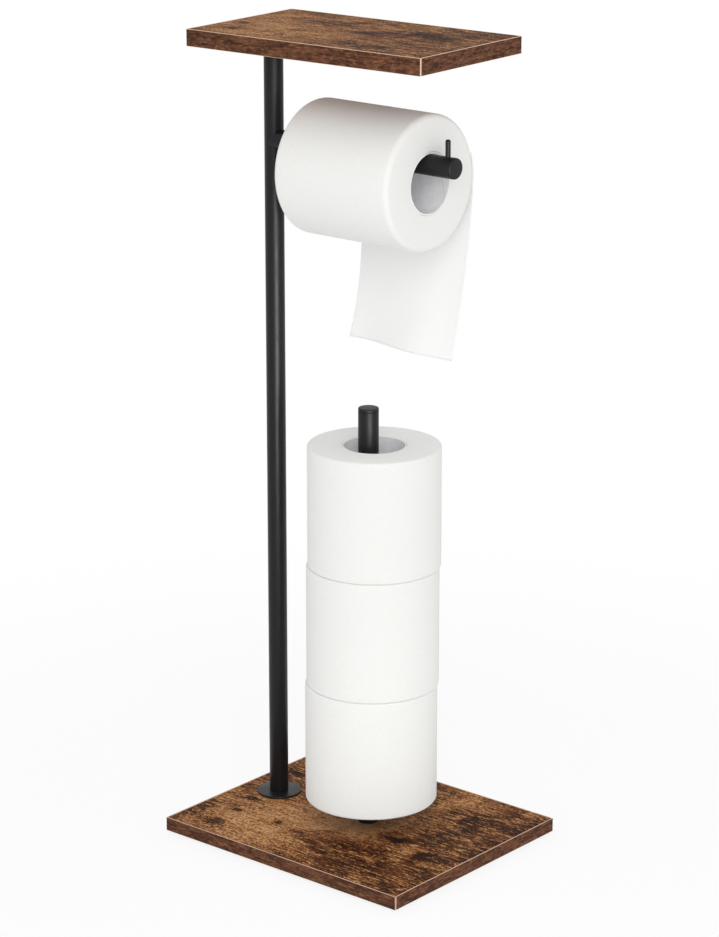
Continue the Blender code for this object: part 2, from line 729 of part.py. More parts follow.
def tail(axle):
    """The loose end of the paper: it lies on the roll, leaves it and hangs down."""
    rows = []
    columns = [column / TAIL_COLUMNS for column in range(TAIL_COLUMNS + 1)]
    reach = USED_ROLL_RADIUS + GAP
    for row in range(TAIL_LAP_ROWS):
        angle = TAIL_LAP * (1 - row / TAIL_LAP_ROWS)
        lift = Vector((0, reach * (cos(angle) - 1), reach * sin(angle)))
        rows.append([tail_point(across, 0) + lift for across in columns])
    for row in range(TAIL_DROP_ROWS + 1):
        rows.append([tail_point(across, row / TAIL_DROP_ROWS) for across in columns])
    form = bmesh.new()
    grid = [[form.verts.new(point) for point in row] for row in rows]
    for upper, lower in zip(grid, grid[1:]):
        for column in range(TAIL_COLUMNS):
            corners = (
                lower[column],
                lower[column + 1],
                upper[column + 1],
                upper[column],
            )
            form.faces.new(reversed(corners))
    mesh = bpy.data.meshes.new("roll_in_use_tail")
    form.to_mesh(mesh)
    form.free()
    mesh.shade_smooth()
    sheet = bpy.data.objects.new("roll_in_use_tail", mesh)
    mesh.materials.append(surface("roll_in_use_tail", "paper_sheet"))
    bpy.context.collection.objects.link(sheet)
    sheet.parent = axle
    solidify = sheet.modifiers.new("thickness", "SOLIDIFY")
    solidify.thickness = TAIL_THICKNESS
    solidify.offset = 1


def rolls(stand):
    """The roll in use on the arm, its loose end, and the spare rolls on the post."""
    start = (USED_ROLL_X, 0, USED_ROLL_Z)
    hook = empty("tail_frame", stand, start)
    tail(hook)
    axle = empty("roll_in_use_axis", stand, start, (0, pi / 2, 0))
    roll(
        "roll_in_use",
        USED_ROLL_RADIUS,
        USED_ROLL_BORE,
        USED_ROLL_LENGTH,
        USED_ROLL_ROUNDING,
        axle,
    )
    play = SPARE_ROLL_BORE / 2 - POST_RADIUS
    below = empty("spare_rolls_frame", stand, (POST_X, 0, REST_TOP))
    shift = SPARE_PLAY_FIRST_SHARE * play
    rise = GAP
    for number in range(1, SPARE_ROLL_COUNT + 1):
        place = (
            shift * cos(SPARE_PLAY_DIRECTION),
            shift * sin(SPARE_PLAY_DIRECTION),
            rise,
        )
        seat = empty("spare_roll_%d_frame" % number, below, place)
        roll(
            "spare_roll_%d" % number,
            SPARE_ROLL_RADIUS,
            SPARE_ROLL_BORE,
            SPARE_ROLL_LENGTH,
            SPARE_ROLL_ROUNDING,
            seat,
        )
        below = seat
        shift = SPARE_PLAY_STEP_SHARE * play
        rise = SPARE_ROLL_LENGTH + GAP


def main():
    for thing in list(bpy.data.objects):
        bpy.data.objects.remove(thing, do_unlink=True)
    stand = empty("stand_frame")
    base(stand)
    base_bolt(stand, "pole", POLE_X)
    base_bolt(stand, "post", POST_X)
    pole(stand)
    arm(stand)
    post(stand)
    turntable = empty("shelf_frame", stand, (POLE_X, 0, 0), (0, 0, SHELF_TURN))
    shelf(turntable)
    rolls(stand)


main()
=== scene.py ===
# %% [markdown]
# # A free-standing toilet roll holder
#
# The model in the frame has every solid of the holder at its real size, as bare
# triangles in plain colours. This lesson dresses it: a rustic brown laminate on the two
# boards, a black powder coat on the tubes, and soft tissue on the rolls. Lengths are in
# metres and +Z is up. +X runs from the tall pole towards the open end of the arm.

# %% Load the frame
import json
from math import atan2, cos, floor, pi, radians, sin, sqrt, tan

import bmesh
import bpy
from mathutils import Matrix, Vector, noise


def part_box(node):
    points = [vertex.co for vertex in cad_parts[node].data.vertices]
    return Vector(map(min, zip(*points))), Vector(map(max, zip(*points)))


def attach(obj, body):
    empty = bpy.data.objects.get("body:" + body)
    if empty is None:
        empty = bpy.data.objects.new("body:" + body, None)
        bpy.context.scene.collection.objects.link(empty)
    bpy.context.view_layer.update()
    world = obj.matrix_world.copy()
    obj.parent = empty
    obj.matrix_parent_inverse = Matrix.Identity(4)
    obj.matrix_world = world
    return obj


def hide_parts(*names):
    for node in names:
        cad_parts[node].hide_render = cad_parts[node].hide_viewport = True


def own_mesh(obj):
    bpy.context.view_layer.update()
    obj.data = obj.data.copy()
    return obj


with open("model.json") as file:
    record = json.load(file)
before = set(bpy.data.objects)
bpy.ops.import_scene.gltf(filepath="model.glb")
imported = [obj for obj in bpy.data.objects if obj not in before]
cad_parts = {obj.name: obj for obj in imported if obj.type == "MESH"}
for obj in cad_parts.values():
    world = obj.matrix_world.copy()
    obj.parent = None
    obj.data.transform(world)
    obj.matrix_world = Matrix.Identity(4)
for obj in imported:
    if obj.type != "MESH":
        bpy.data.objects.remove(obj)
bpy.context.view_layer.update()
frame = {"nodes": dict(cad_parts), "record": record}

nodes = frame["nodes"]
print("Nodes in the frame:", len(nodes))

# %% [markdown]
# ## The camera
#
# The photograph was taken from the front right, a little above the shelf, and its
# uprights were made parallel afterwards. A camera that looks straight ahead would need a
# shift of a whole frame for that, and every other view would then miss the object. So
# this camera stands at the same place and tilts down instead. Its turn, tilt and focal
# length are the ones that bring the corners of both boards nearest to their places.

# %% Place the camera
FRAME_LONG_SIDE = 937           # pixels
FOCAL_PIXELS = 3199
CAMERA_PLACE = Vector((1.6191, -1.9167, 1.0822))
CAMERA_TURN = radians(40.19)
CAMERA_TILT = radians(16.84)

camera_data = bpy.data.cameras.new("camera")
camera = bpy.data.objects.new("camera", camera_data)
bpy.context.collection.objects.link(camera)
camera.location = CAMERA_PLACE
camera.rotation_euler = (pi / 2 - CAMERA_TILT, 0, CAMERA_TURN)
camera_data.lens = FOCAL_PIXELS / FRAME_LONG_SIDE * camera_data.sensor_width
bpy.context.scene.camera = camera
print("Lens: %.1f mm" % camera_data.lens)

# %% [markdown]
# ## The studio
#
# A product picture has a white ground that fades into a white wall, with a faint soft
# shadow. Here the world is white for the camera and for reflections, and a soft grey
# dome for everything else. The floor is a real white surface near the object, so it
# keeps the shadow. Part of it is plain white already there, so the shadow stays faint,
# and further out, where a horizon would show, all of it is.

# %% Helpers for node trees
def put(tree, kind, inputs=None, **settings):
    """Add a node; each input is a value to set or a socket to link."""
    made = tree.nodes.new(kind)
    for name, value in settings.items():
        setattr(made, name, value)
    for name, value in (inputs or {}).items():
        socket = made.inputs[name]
        if isinstance(value, bpy.types.NodeSocket):
            tree.links.new(value, socket)
        else:
            socket.default_value = value
    return made


def maths(tree, operation, *values):
    """One Math node over numbers and sockets, and its output."""
    inputs = dict(enumerate(values))
    return put(tree, "ShaderNodeMath", inputs, operation=operation).outputs[0]


def fade(tree, value, start, end, low=0.0, high=1.0):
    """A smooth step: low until start and high from end on."""
    inputs = {
        "Value": value,
        "From Min": start,
        "From Max": end,
        "To Min": low,
        "To Max": high,
    }
    made = put(tree, "ShaderNodeMapRange", inputs, interpolation_type="SMOOTHSTEP")
    return made.outputs["Result"]


def object_place(tree):
    """Where a point of the object is, in metres."""
    return put(tree, "ShaderNodeTexCoord").outputs["Object"]


# %% World
world = bpy.data.worlds.new("studio")
world.use_nodes = True
sky = world.node_tree
sky.nodes.clear()
DOME_STRENGTH = 0.765


def seen_directly(tree):
    """1 for rays from the camera or off a gloss or through glass, and 0 for the rest."""
    rays = put(tree, "ShaderNodeLightPath").outputs
    seen = maths(tree, "MAXIMUM", rays["Is Camera Ray"], rays["Is Glossy Ray"])
    return maths(tree, "MAXIMUM", seen, rays["Is Transmission Ray"])


seen = seen_directly(sky)
dome = put(sky, "ShaderNodeBackground", {"Color": (1, 1, 1, 1), "Strength": DOME_STRENGTH})
white = put(sky, "ShaderNodeBackground", {"Color": (1, 1, 1, 1), "Strength": 1.0})
mix = put(sky, "ShaderNodeMixShader", {0: seen, 1: dome.outputs[0], 2: white.outputs[0]})
put(sky, "ShaderNodeOutputWorld", {"Surface": mix.outputs[0]})
bpy.context.scene.world = world
bpy.context.scene.view_settings.view_transform = "Standard"
print("Dome strength:", DOME_STRENGTH)

# %% Floor
FLOOR_RADIUS = 6.0
FLOOR_SIDES = 64
FLOOR_WHITE = 0.93
SHADOW_REACH = (0.25, 0.9)      # where the floor starts and ends turning plain white
PLAIN_SHARE = 0.84              # how much of it is plain white near the object

form = bmesh.new()
bmesh.ops.create_circle(form, cap_ends=True, segments=FLOOR_SIDES, radius=FLOOR_RADIUS)
floor_mesh = bpy.data.meshes.new("floor")
form.to_mesh(floor_mesh)
form.free()
floor_plane = bpy.data.objects.new("floor", floor_mesh)
bpy.context.collection.objects.link(floor_plane)

ground = bpy.data.materials.new("floor_white")
ground.use_nodes = True
tree = ground.node_tree
tree.nodes.clear()
matt = put(tree, "ShaderNodeBsdfDiffuse", {"Color": (FLOOR_WHITE,) * 3 + (1,)})
plain = put(tree, "ShaderNodeEmission", {"Color": (1, 1, 1, 1), "Strength": 1.0})
distance = put(
    tree, "ShaderNodeVectorMath", {0: object_place(tree)}, operation="LENGTH"
).outputs["Value"]
far = fade(tree, distance, *SHADOW_REACH, PLAIN_SHARE, 1.0)
far = maths(tree, "MULTIPLY", far, seen_directly(tree))
mix = put(tree, "ShaderNodeMixShader", {0: far, 1: matt.outputs[0], 2: plain.outputs[0]})
put(tree, "ShaderNodeOutputMaterial", {"Surface": mix.outputs[0]})
floor_mesh.materials.append(ground)
print("Floor radius:", FLOOR_RADIUS)

# %% [markdown]
# ## The lamps
#
# The rolls are nearly as bright on their tops and edges as in the middle, so most of the
# light comes from all round, and only a little from three soft boxes. One stands in
# front. One is higher, and reaches the top of the roll under the shelf. One lies near the
# floor, and keeps the foot of the stack from going dark.
#
# The black pole has a soft highlight a little right of its middle. A camera that looks
# down on an upright tube sees what lies low behind itself mirrored there, so two
# reflectors stand on the floor to the right of the camera. They only show in gloss, and
# light nothing. They lean back and throw their light upwards in a narrow fan, so that
# upright tubes catch it and flat tops, such as the rosette's, don't.

# %% Lamps
LAMP_AIM = Vector((0, 0, 0.36))
OPEN_FAN = pi                   # light to every side in front of a lamp

# Each box: its turn round the object, its height and distance, the two sides of its
# face, and its power
FRONT_BOX = (radians(40), 0.90, 1.3, (1.0, 0.9), 1.9)
HIGH_BOX = (radians(47), 1.16, 1.6, (1.2, 0.8), 7.2)
LOW_BOX = (radians(50), 0.10, 1.0, (1.6, 0.14), 0.17)
LOW_AIM = Vector((0, 0, 0.01))
LOW_FAN = radians(34)

# The reflectors differ only in their turn
REFLECTOR_TURNS = (radians(46), radians(64))
REFLECTOR_BOX = (0.31, 0.85, (0.34, 0.58), 0.70)
REFLECTOR_AIM = Vector((-0.09, 0, 0.57))
REFLECTOR_FAN = radians(54)


def soft_box(name, turn, height, away, size, power, aim=LAMP_AIM, fan=OPEN_FAN):
    """An area lamp on a circle round the object, aimed at a point."""
    data = bpy.data.lights.new(name, "AREA")
    data.shape = "RECTANGLE"
    data.size, data.size_y = size
    data.energy = power
    data.spread = fan
    lamp = bpy.data.objects.new(name, data)
    bpy.context.collection.objects.link(lamp)
    lamp.location = (sin(turn) * away, -cos(turn) * away, height)
    lamp.rotation_euler = (lamp.location - aim).to_track_quat("Z", "Y").to_euler()
    lamp.visible_camera = False
    return lamp


lamps = [
    soft_box("front", *FRONT_BOX),
    soft_box("high", *HIGH_BOX),
    soft_box("low", *LOW_BOX, LOW_AIM, LOW_FAN),
]
for turn in REFLECTOR_TURNS:
    reflector = soft_box("reflector", turn, *REFLECTOR_BOX, REFLECTOR_AIM, REFLECTOR_FAN)
    reflector.visible_diffuse = False
    lamps.append(reflector)
print("Lamps:", len(lamps))

# %% [markdown]
# ## Black powder coat
#
# The tubes are steel with a black powder coat: nearly black, with a broad soft
# highlight and a fine pebbled skin. A Principled shader with a middling roughness gives
# the highlight. Two noises, one fine and one coarse, give the skin its bump and let the
# roughness wander a little.

# %% Helpers for materials
def shade(red, green, blue):
    """A colour as seen on a screen, 0 to 255, as the linear values that a shader takes."""
    def linear(channel):
        value = channel / 255
        if value <= 0.04045:
            return value / 12.92
        return ((value + 0.055) / 1.055) ** 2.4
    return (linear(red), linear(green), linear(blue), 1.0)


def new_material(name, colour, roughness, metallic=0.0):
    """A material, its tree and its Principled shader."""
    material = bpy.data.materials.new(name)
    material.use_nodes = True
    shader = material.node_tree.nodes["Principled BSDF"]
    shader.inputs["Base Color"].default_value = colour
    shader.inputs["Roughness"].default_value = roughness
    shader.inputs["Metallic"].default_value = metallic
    return material, material.node_tree, shader


def speckle(tree, scale, detail=2.0, place=None, rough=0.5):
    """A noise of so many features to the metre, from 0 to 1."""
    inputs = {
        "Vector": place or object_place(tree),
        "Scale": scale,
        "Detail": detail,
        "Roughness": rough,
    }
    return put(tree, "ShaderNodeTexNoise", inputs).outputs["Fac"]


def raise_skin(tree, shader, height, depth, strength=1.0):
    """Feed a height pattern to the shader as a bump of so many metres."""
    inputs = {"Height": height, "Distance": depth, "Strength": strength}
    bump = put(tree, "ShaderNodeBump", inputs)
    tree.links.new(bump.outputs["Normal"], shader.inputs["Normal"])


# %% Powder coat, plastic, zinc, foam
def powder_coat():
    material, tree, shader = new_material("black_coat", shade(26, 26, 28), 0.36)
    shader.inputs["Specular IOR Level"].default_value = 0.20
    pebble = speckle(tree, 1500, 2.0)
    cloud = speckle(tree, 60, 2.0)
    tree.links.new(fade(tree, cloud, 0.3, 0.7, 0.32, 0.40), shader.inputs["Roughness"])
    raise_skin(tree, shader, pebble, 0.00002, 0.6)
    return material


def black_plastic():
    material, tree, shader = new_material("black_plastic", shade(25, 25, 27), 0.46)
    shader.inputs["Specular IOR Level"].default_value = 0.2
    raise_skin(tree, shader, speckle(tree, 2500, 1.0), 0.00001, 0.5)
    return material


def zinc_plate():
    material, tree, shader = new_material("zinc", shade(176, 178, 182), 0.34, 1.0)
    haze = speckle(tree, 900, 3.0)
    tree.links.new(fade(tree, haze, 0.3, 0.7, 0.28, 0.44), shader.inputs["Roughness"])
    return material


def foam_rubber():
    material, tree, shader = new_material("foam", shade(50, 50, 52), 0.9)
    raise_skin(tree, shader, speckle(tree, 2200, 2.0), 0.0001, 0.8)
    return material


COAT = powder_coat()
PLASTIC = black_plastic()
ZINC = zinc_plate()
FOAM = foam_rubber()
print("Finishes:", COAT.name, PLASTIC.name, ZINC.name, FOAM.name)

# %% [markdown]
# ## Helpers for turned pieces
#
# Poles, posts, discs and rolls are all solids of revolution. A few vertices make the
# outline of one half, and bmesh spins them round the axis. The CAD solids have flat
# facets, so the pieces that show are turned again here with many more sides.

# %% Turn an outline
TURN_SIDES = 96
WELD = 0.000002
SMOOTH_ANGLE = radians(30)


def turned(outline, sides=TURN_SIDES):
    """Spin (radius, height) points round Z. An outline that starts and ends on the axis
    is left open there, and any other is closed."""
    form = bmesh.new()
    corners = [form.verts.new((radius, 0, height)) for radius, height in outline]
    runs = list(zip(corners, corners[1:]))
    if outline[0][0] > 0:
        runs.append((corners[-1], corners[0]))
    edges = [form.edges.new(run) for run in runs]
    bmesh.ops.spin(
        form,
        geom=corners + edges,
        cent=(0, 0, 0),
        axis=(0, 0, 1),
        angle=2 * pi,
        steps=sides,
        use_merge=True,
    )
    bmesh.ops.remove_doubles(form, verts=form.verts, dist=WELD)
    bmesh.ops.recalc_face_normals(form, faces=form.faces)
    return form


def rounded(outline, radii, steps=5):
    """The outline with a fillet at each corner that has a radius."""
    points = []
    for index, radius in enumerate(radii):
        corner = Vector(outline[index])
        if radius == 0:
            points.append(tuple(corner))
            continue
        back = (Vector(outline[index - 1]) - corner).normalized()
        ahead = (Vector(outline[(index + 1) % len(outline)]) - corner).normalized()
        half = back.angle(ahead) / 2
        centre = corner + (back + ahead).normalized() * radius / sin(half)
        spoke = corner + back * radius / tan(half) - centre
        sweep = pi - 2 * half
        if back.cross(ahead) > 0:
            sweep = -sweep
        for step in range(steps + 1):
            turn = Matrix.Rotation(sweep * step / steps, 2)
            points.append(tuple(centre + turn @ spoke))
    return points


def cut_away(form, cutter):
    """The form with the cutter taken out of it."""
    blanks = []
    for part in (form, cutter):
        mesh = bpy.data.meshes.new("blank")
        part.to_mesh(mesh)
        part.free()
        blank = bpy.data.objects.new("blank", mesh)
        bpy.context.collection.objects.link(blank)
        blanks.append(blank)
    boolean = blanks[0].modifiers.new("cut", "BOOLEAN")
    boolean.operation = "DIFFERENCE"
    boolean.solver = "EXACT"
    boolean.object = blanks[1]
    view = bpy.context.evaluated_depsgraph_get()
    result = bmesh.new()
    result.from_object(blanks[0], view)
    for blank in blanks:
        bpy.data.objects.remove(blank, do_unlink=True)
    return result


def upright(x, y, z):
    """The place of a piece that is turned about a vertical axis."""
    return Matrix.Translation((x, y, z))


def lying(x, y, z):
    """The place of a piece that is turned about an axis along +X."""
    return Matrix.Translation((x, y, z)) @ Matrix.Rotation(pi / 2, 4, "Y")


def finish_piece(name, form, place, material, slot, body, *stands_for):
    """Put a form in its place as an object, smooth it and fasten it to its body."""
    form.transform(place)
    mesh = bpy.data.meshes.new(name)
    form.to_mesh(mesh)
    form.free()
    mesh.shade_smooth()
    mesh.set_sharp_from_angle(angle=SMOOTH_ANGLE)
    mesh.materials.append(material)
    piece = bpy.data.objects.new(name, mesh)
    bpy.context.collection.objects.link(piece)
    if stands_for:
        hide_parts(*stands_for)
    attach(piece, body)
    print("%-22s %6d faces" % (name, len(mesh.polygons)))
    return piece


def middle(node):
    """The middle of a CAD node's box."""
    low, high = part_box(node)
    return (low + high) / 2


# %% [markdown]
# ## Pole, rosette and post
#
# The pole is one long tube. At its foot a thin steel disc, the rosette, hides the hole
# in the board. The post is a short tube with a moulded plastic cap. Their outer sizes are
# read from the boxes of their CAD nodes, so each piece lies exactly where its solid is.
# The pole has a hole in its back, through which the arm's screw is put in, and a plastic
# plug closes it. A Boolean drills that hole, because no turned outline has it.

# %% Pole and rosette
TUBE_WALL = 0.0012
TUBE_EDGE = 0.0002              # rounding of a cut tube end
ROSETTE_EDGE = 0.0007
HOLE_GAP = 0.0003               # round the plug in the pole's hole


def coated(name, form, place, node):
    """A powder-coated piece of the stand, which replaces one CAD node."""
    return finish_piece(name, form, place, COAT, "black_coat", "stand", node)


def tube_outline(outer, inner, low, high, edge):
    """Half a tube's section, with rounded outer edges."""
    corners = [(inner, low), (outer, low), (outer, high), (inner, high)]
    return rounded(corners, (0, edge, edge, 0), steps=3)


low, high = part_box("pole")
pole_centre = middle("pole")
pole_radius = (high.x - low.x) / 2
outline = tube_outline(pole_radius, pole_radius - TUBE_WALL, low.z, high.z, TUBE_EDGE)
pole_place = upright(pole_centre.x, pole_centre.y, 0)
form = turned(outline)
form.transform(pole_place)

hole_centre = middle("arm_hole_plug")
low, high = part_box("arm_hole_plug")
hole_radius = (high.z - low.z) / 2 + HOLE_GAP
depth = 2 * pole_radius
drill = turned([(0, -depth), (hole_radius, -depth), (hole_radius, 0), (0, 0)])
drill.transform(lying(pole_centre.x, pole_centre.y, hole_centre.z))
form = cut_away(form, drill)
coated("pole_tube", form, Matrix(), "pole")

low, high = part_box("pole_rosette")
rosette_radius = (high.x - low.x) / 2
outline = [
    (pole_radius + TUBE_EDGE, low.z),
    (rosette_radius, low.z),
    (rosette_radius, high.z),
    (pole_radius + TUBE_EDGE, high.z),
]
outline = rounded(outline, (0, 0, ROSETTE_EDGE, 0))
coated("rosette", turned(outline), pole_place, "pole_rosette")

# %% Post, cap and resting disc
CAP_EDGE = 0.0009
REST_EDGE = 0.0006
REST_THICKNESS = 0.0018         # of the disc, above its hub
HUB_RADIUS = 0.0125


def moulded(name, form, place, node):
    """A piece of black plastic on the stand, which replaces one CAD node."""
    return finish_piece(name, form, place, PLASTIC, "black_plastic", "stand", node)


low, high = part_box("post")
post_centre = middle("post")
post_radius = (high.x - low.x) / 2
outline = tube_outline(post_radius, post_radius - TUBE_WALL, low.z, high.z, TUBE_EDGE)
post_place = upright(post_centre.x, post_centre.y, 0)
coated("post_tube", turned(outline), post_place, "post")

cap_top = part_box("post_cap")[1].z
cap_low = high.z + TUBE_EDGE
outline = [
    (0, cap_low),
    (post_radius, cap_low),
    (post_radius, cap_top),
    (0, cap_top),
]
outline = rounded(outline, (0, TUBE_EDGE, CAP_EDGE, 0))
moulded("post_end_cap", turned(outline), post_place, "post_cap")

low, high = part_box("roll_rest")
rest_radius = (high.x - low.x) / 2
outline = [
    (post_radius + TUBE_EDGE, low.z),
    (HUB_RADIUS, low.z),
    (HUB_RADIUS, high.z - REST_THICKNESS),
    (rest_radius, high.z - REST_THICKNESS),
    (rest_radius, high.z),
    (post_radius + TUBE_EDGE, high.z),
]
outline = rounded(outline, (0, REST_EDGE, REST_EDGE, REST_EDGE, REST_EDGE, 0))
coated("resting_disc", turned(outline), post_place, "roll_rest")

# %% [markdown]
# ## The arm
#
# The arm's root is coped: cut to a saddle that lies round the pole. The tube is turned
# about its own axis first. Then the vertices of its root are slid along it until each
# one lies on the pole's skin, which is the same cut made without a cutter. A plug with a
# rounded rim closes the open end, and the stop pin stands in a hole just inside it.

# %% Arm, plug and pin
COPE_GAP = 0.0002
PLUG_COLLAR = 0.002
PLUG_EDGE = 0.0014
PIN_EDGE = 0.0016
PIN_SIDES = 48

low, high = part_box("arm")
arm_centre = middle("arm")
arm_radius = (high.z - low.z) / 2
plug_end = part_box("arm_end_plug")[1].x
reach = plug_end - PLUG_COLLAR - COPE_GAP
outline = tube_outline(arm_radius, arm_radius - TUBE_WALL, low.x, reach, TUBE_EDGE)
form = turned(outline)
form.transform(lying(0, 0, arm_centre.z))
for vertex in form.verts:
    if vertex.co.x < arm_centre.x:
        skin = sqrt(max(pole_radius ** 2 - vertex.co.y ** 2, 0))
        vertex.co.x = pole_centre.x + skin + COPE_GAP
coated("arm_tube", form, Matrix(), "arm")

outline = [
    (0, plug_end - PLUG_COLLAR),
    (arm_radius, plug_end - PLUG_COLLAR),
    (arm_radius, plug_end),
    (0, plug_end),
]
outline = rounded(outline, (0, TUBE_EDGE, PLUG_EDGE, 0))
moulded("arm_plug", turned(outline), lying(0, 0, arm_centre.z), "arm_end_plug")

low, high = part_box("stop_pin")
pin_centre = middle("stop_pin")
pin_radius = (high.x - low.x) / 2
outline = [(0, low.z), (pin_radius, low.z), (pin_radius, high.z), (0, high.z)]
outline = rounded(outline, (0, 0, PIN_EDGE, 0))
pin_place = upright(pin_centre.x, pin_centre.y, 0)
coated("pin", turned(outline, PIN_SIDES), pin_place, "stop_pin")

# %% [markdown]
# ## Rustic laminate
# One pale patch on the base, round the foot of the stack, is partly the print and partly
# painted light, made paler to offset the shade that the stack casts there.
#
# Both boards have a printed laminate: ochre wood that turns brown in clouds, with knots,
# thin dark cracks along the grain and a rough grit of light and dark. Every one of these
# makes the wood lighter or darker, so each is made as a number, and all are added up. A
# colour ramp then turns the sum into the colours of the print, from nearly black to pale
# ochre. Light and dark patches and the knots stand where a list puts them, and noise
# frays their edges.
# A crack is where a drawn-out noise crosses its own middle, which is always a thin line.

# %% Layers of the print
DEEP_BROWN = shade(34, 15, 4)
OCHRE = shade(174, 121, 71)
PRINT_COLOURS = [
    (0.00, DEEP_BROWN),
    (0.25, shade(67, 35, 15)),
    (0.45, shade(103, 62, 34)),
    (0.65, shade(144, 95, 54)),
    (0.82, OCHRE),
    (1.00, shade(203, 159, 114)),
]


def blend_colours(tree, factor, first, second):
    """Mix two colours, each a value or a socket, by a factor."""
    made = put(tree, "ShaderNodeMix", data_type="RGBA")
    sockets = (made.inputs[0], made.inputs[6], made.inputs[7])
    for socket, value in zip(sockets, (factor, first, second)):
        if isinstance(value, bpy.types.NodeSocket):
            tree.links.new(value, socket)
        else:
            socket.default_value = value
    return made.outputs[2]


def board_place(tree, centre, turn):
    """Places on a board, in metres from its middle and along its own sides."""
    inputs = {"Vector": object_place(tree), "Location": centre, "Rotation": (0, 0, turn)}
    return put(tree, "ShaderNodeMapping", inputs, vector_type="TEXTURE").outputs[0]


def stretched(tree, place, factors):
    """The same places with each axis scaled by its factor."""
    inputs = {0: place, 1: factors}
    return put(tree, "ShaderNodeVectorMath", inputs, operation="MULTIPLY").outputs[0]


def total(tree, values):
    """The sum of a list of numbers and sockets."""
    result = values[0]
    for value in values[1:]:
        result = maths(tree, "ADD", result, value)
    return result


def swing(tree, texture, amount):
    """A texture's swing to either side of its middle, times an amount."""
    return maths(tree, "MULTIPLY", maths(tree, "SUBTRACT", texture, 0.5), amount)


def oval(tree, place, x, y, width, depth, fray, soft):
    """1 inside an oval with a frayed edge and 0 outside."""
    inputs = {"Vector": place, "Location": (x, y, 0), "Scale": (width / 2, depth / 2, 1)}
    local = put(tree, "ShaderNodeMapping", inputs, vector_type="TEXTURE").outputs[0]
    away = put(tree, "ShaderNodeVectorMath", {0: local}, operation="LENGTH").outputs["Value"]
    away = maths(tree, "ADD", away, fray)
    return fade(tree, away, 1 - soft, 1 + soft, 1.0, 0.0)


def print_ramp(tree, value):
    """The print's colours, from the darkest at 0 to the palest at 1."""
    made = put(tree, "ShaderNodeValToRGB", {"Fac": value})
    stops = made.color_ramp.elements
    for position, colour in PRINT_COLOURS[1:-1]:
        stops.new(position).color = colour
    stops[0].color = PRINT_COLOURS[0][1]
    stops[-1].color = PRINT_COLOURS[-1][1]
    return made.outputs["Color"]


# %% The laminate
WOOD_MIDDLE = 0.47              # the print's plain brown, on the ramp
RING_REACH = 1.5                # of a knot's own width and depth
RING_DARKENS = -0.20            # for a knot of strength 1
HEART_DARKENS = -0.60
CRACKS = ((70, 0.30, -0.80), (150, 0.22, -0.60))    # fineness, stretch and depth
CRACK_EDGE = (0.005, 0.020)     # off the noise's middle: where a crack starts to end

# How far each noise swings the sum
CLOUD_SWING = 0.85
GRIT_SWING = 1.4
STREAK_SWING = 0.8
RIPPLE_SWING = 2.6
FLECK_SWING = 2.7


def laminate(name, centre, turn, patches, knots):
    """The rustic board pattern. A patch is x, y, width and depth in metres, and how much
    lighter it is, or darker where that is negative. A knot is the same, and how strong
    it is."""
    material, tree, shader = new_material(name, OCHRE, 0.62)
    shader.inputs["Specular IOR Level"].default_value = 0.06
    place = board_place(tree, centre, turn)
    clouds = speckle(tree, 42, 8.0, stretched(tree, place, (0.75, 1, 1)), 0.72)
    grit = speckle(tree, 300, 6.0, stretched(tree, place, (0.6, 1, 1)), 0.80)
    patch_fray = total(tree, [swing(tree, clouds, 3.0), swing(tree, grit, 1.6)])
    knot_fray = total(tree, [swing(tree, clouds, 1.2), swing(tree, grit, 4.0)])

    # The sum grows as it goes: a shader can hold only so many numbers at once
    zones = maths(tree, "MULTIPLY_ADD", clouds, CLOUD_SWING, WOOD_MIDDLE - CLOUD_SWING / 2)
    for x, y, width, depth, lift in patches:
        mask = oval(tree, place, x, y, width, depth, patch_fray, 0.5)
        zones = maths(tree, "MULTIPLY_ADD", mask, lift, zones)
    for x, y, width, depth, drop in knots:
        size = (width * RING_REACH, depth * RING_REACH)
        ring = oval(tree, place, x, y, *size, patch_fray, 0.45)
        zones = maths(tree, "MULTIPLY_ADD", ring, drop * RING_DARKENS, zones)
        heart = oval(tree, place, x, y, width, depth, knot_fray, 0.15)
        zones = maths(tree, "MULTIPLY_ADD", heart, drop * HEART_DARKENS, zones)

    # The dark zones are rough with grit, cracks and lines along the grain
    rough = [swing(tree, grit, GRIT_SWING)]
    streak = speckle(tree, 190, 5.0, stretched(tree, place, (0.16, 1, 1)), 0.65)
    rough.append(swing(tree, streak, STREAK_SWING))
    ripple = speckle(tree, 620, 3.0, stretched(tree, place, (0.10, 1, 1)), 0.6)
    rough.append(swing(tree, ripple, RIPPLE_SWING))
    for scale, drawn, depth in CRACKS:
        drift = speckle(tree, scale, 5.0, stretched(tree, place, (drawn, 1, 1)), 0.7)
        off = maths(tree, "ABSOLUTE", maths(tree, "SUBTRACT", drift, 0.5))
        line = fade(tree, off, *CRACK_EDGE, 1.0, 0.0)
        line = maths(tree, "MULTIPLY", line, fade(tree, clouds, 0.56, 0.44))
        rough.append(maths(tree, "MULTIPLY", line, depth))
    share = fade(tree, zones, 0.42, 0.72, 1.0, 0.40)
    rough = total(tree, rough)
    shown = maths(tree, "MULTIPLY", rough, share)
    fleck = speckle(tree, 560, 4.0, stretched(tree, place, (0.8, 1, 1)), 0.75)
    value = total(tree, [zones, shown, swing(tree, fleck, FLECK_SWING)])
    colour = print_ramp(tree, value)

    # Some places are redder than the rest
    warmth = fade(tree, speckle(tree, 60, 4.0, place, 0.6), 0.50, 0.62, 0.0, 0.26)
    colour = blend_colours(tree, warmth, colour, shade(112, 58, 36))
    tree.links.new(colour, shader.inputs["Base Color"])
    raise_skin(tree, shader, total(tree, [fleck, rough]), 0.00015, 0.5)
    tree.links.new(fade(tree, fleck, 0.3, 0.7, 0.56, 0.70), shader.inputs["Roughness"])
    return material


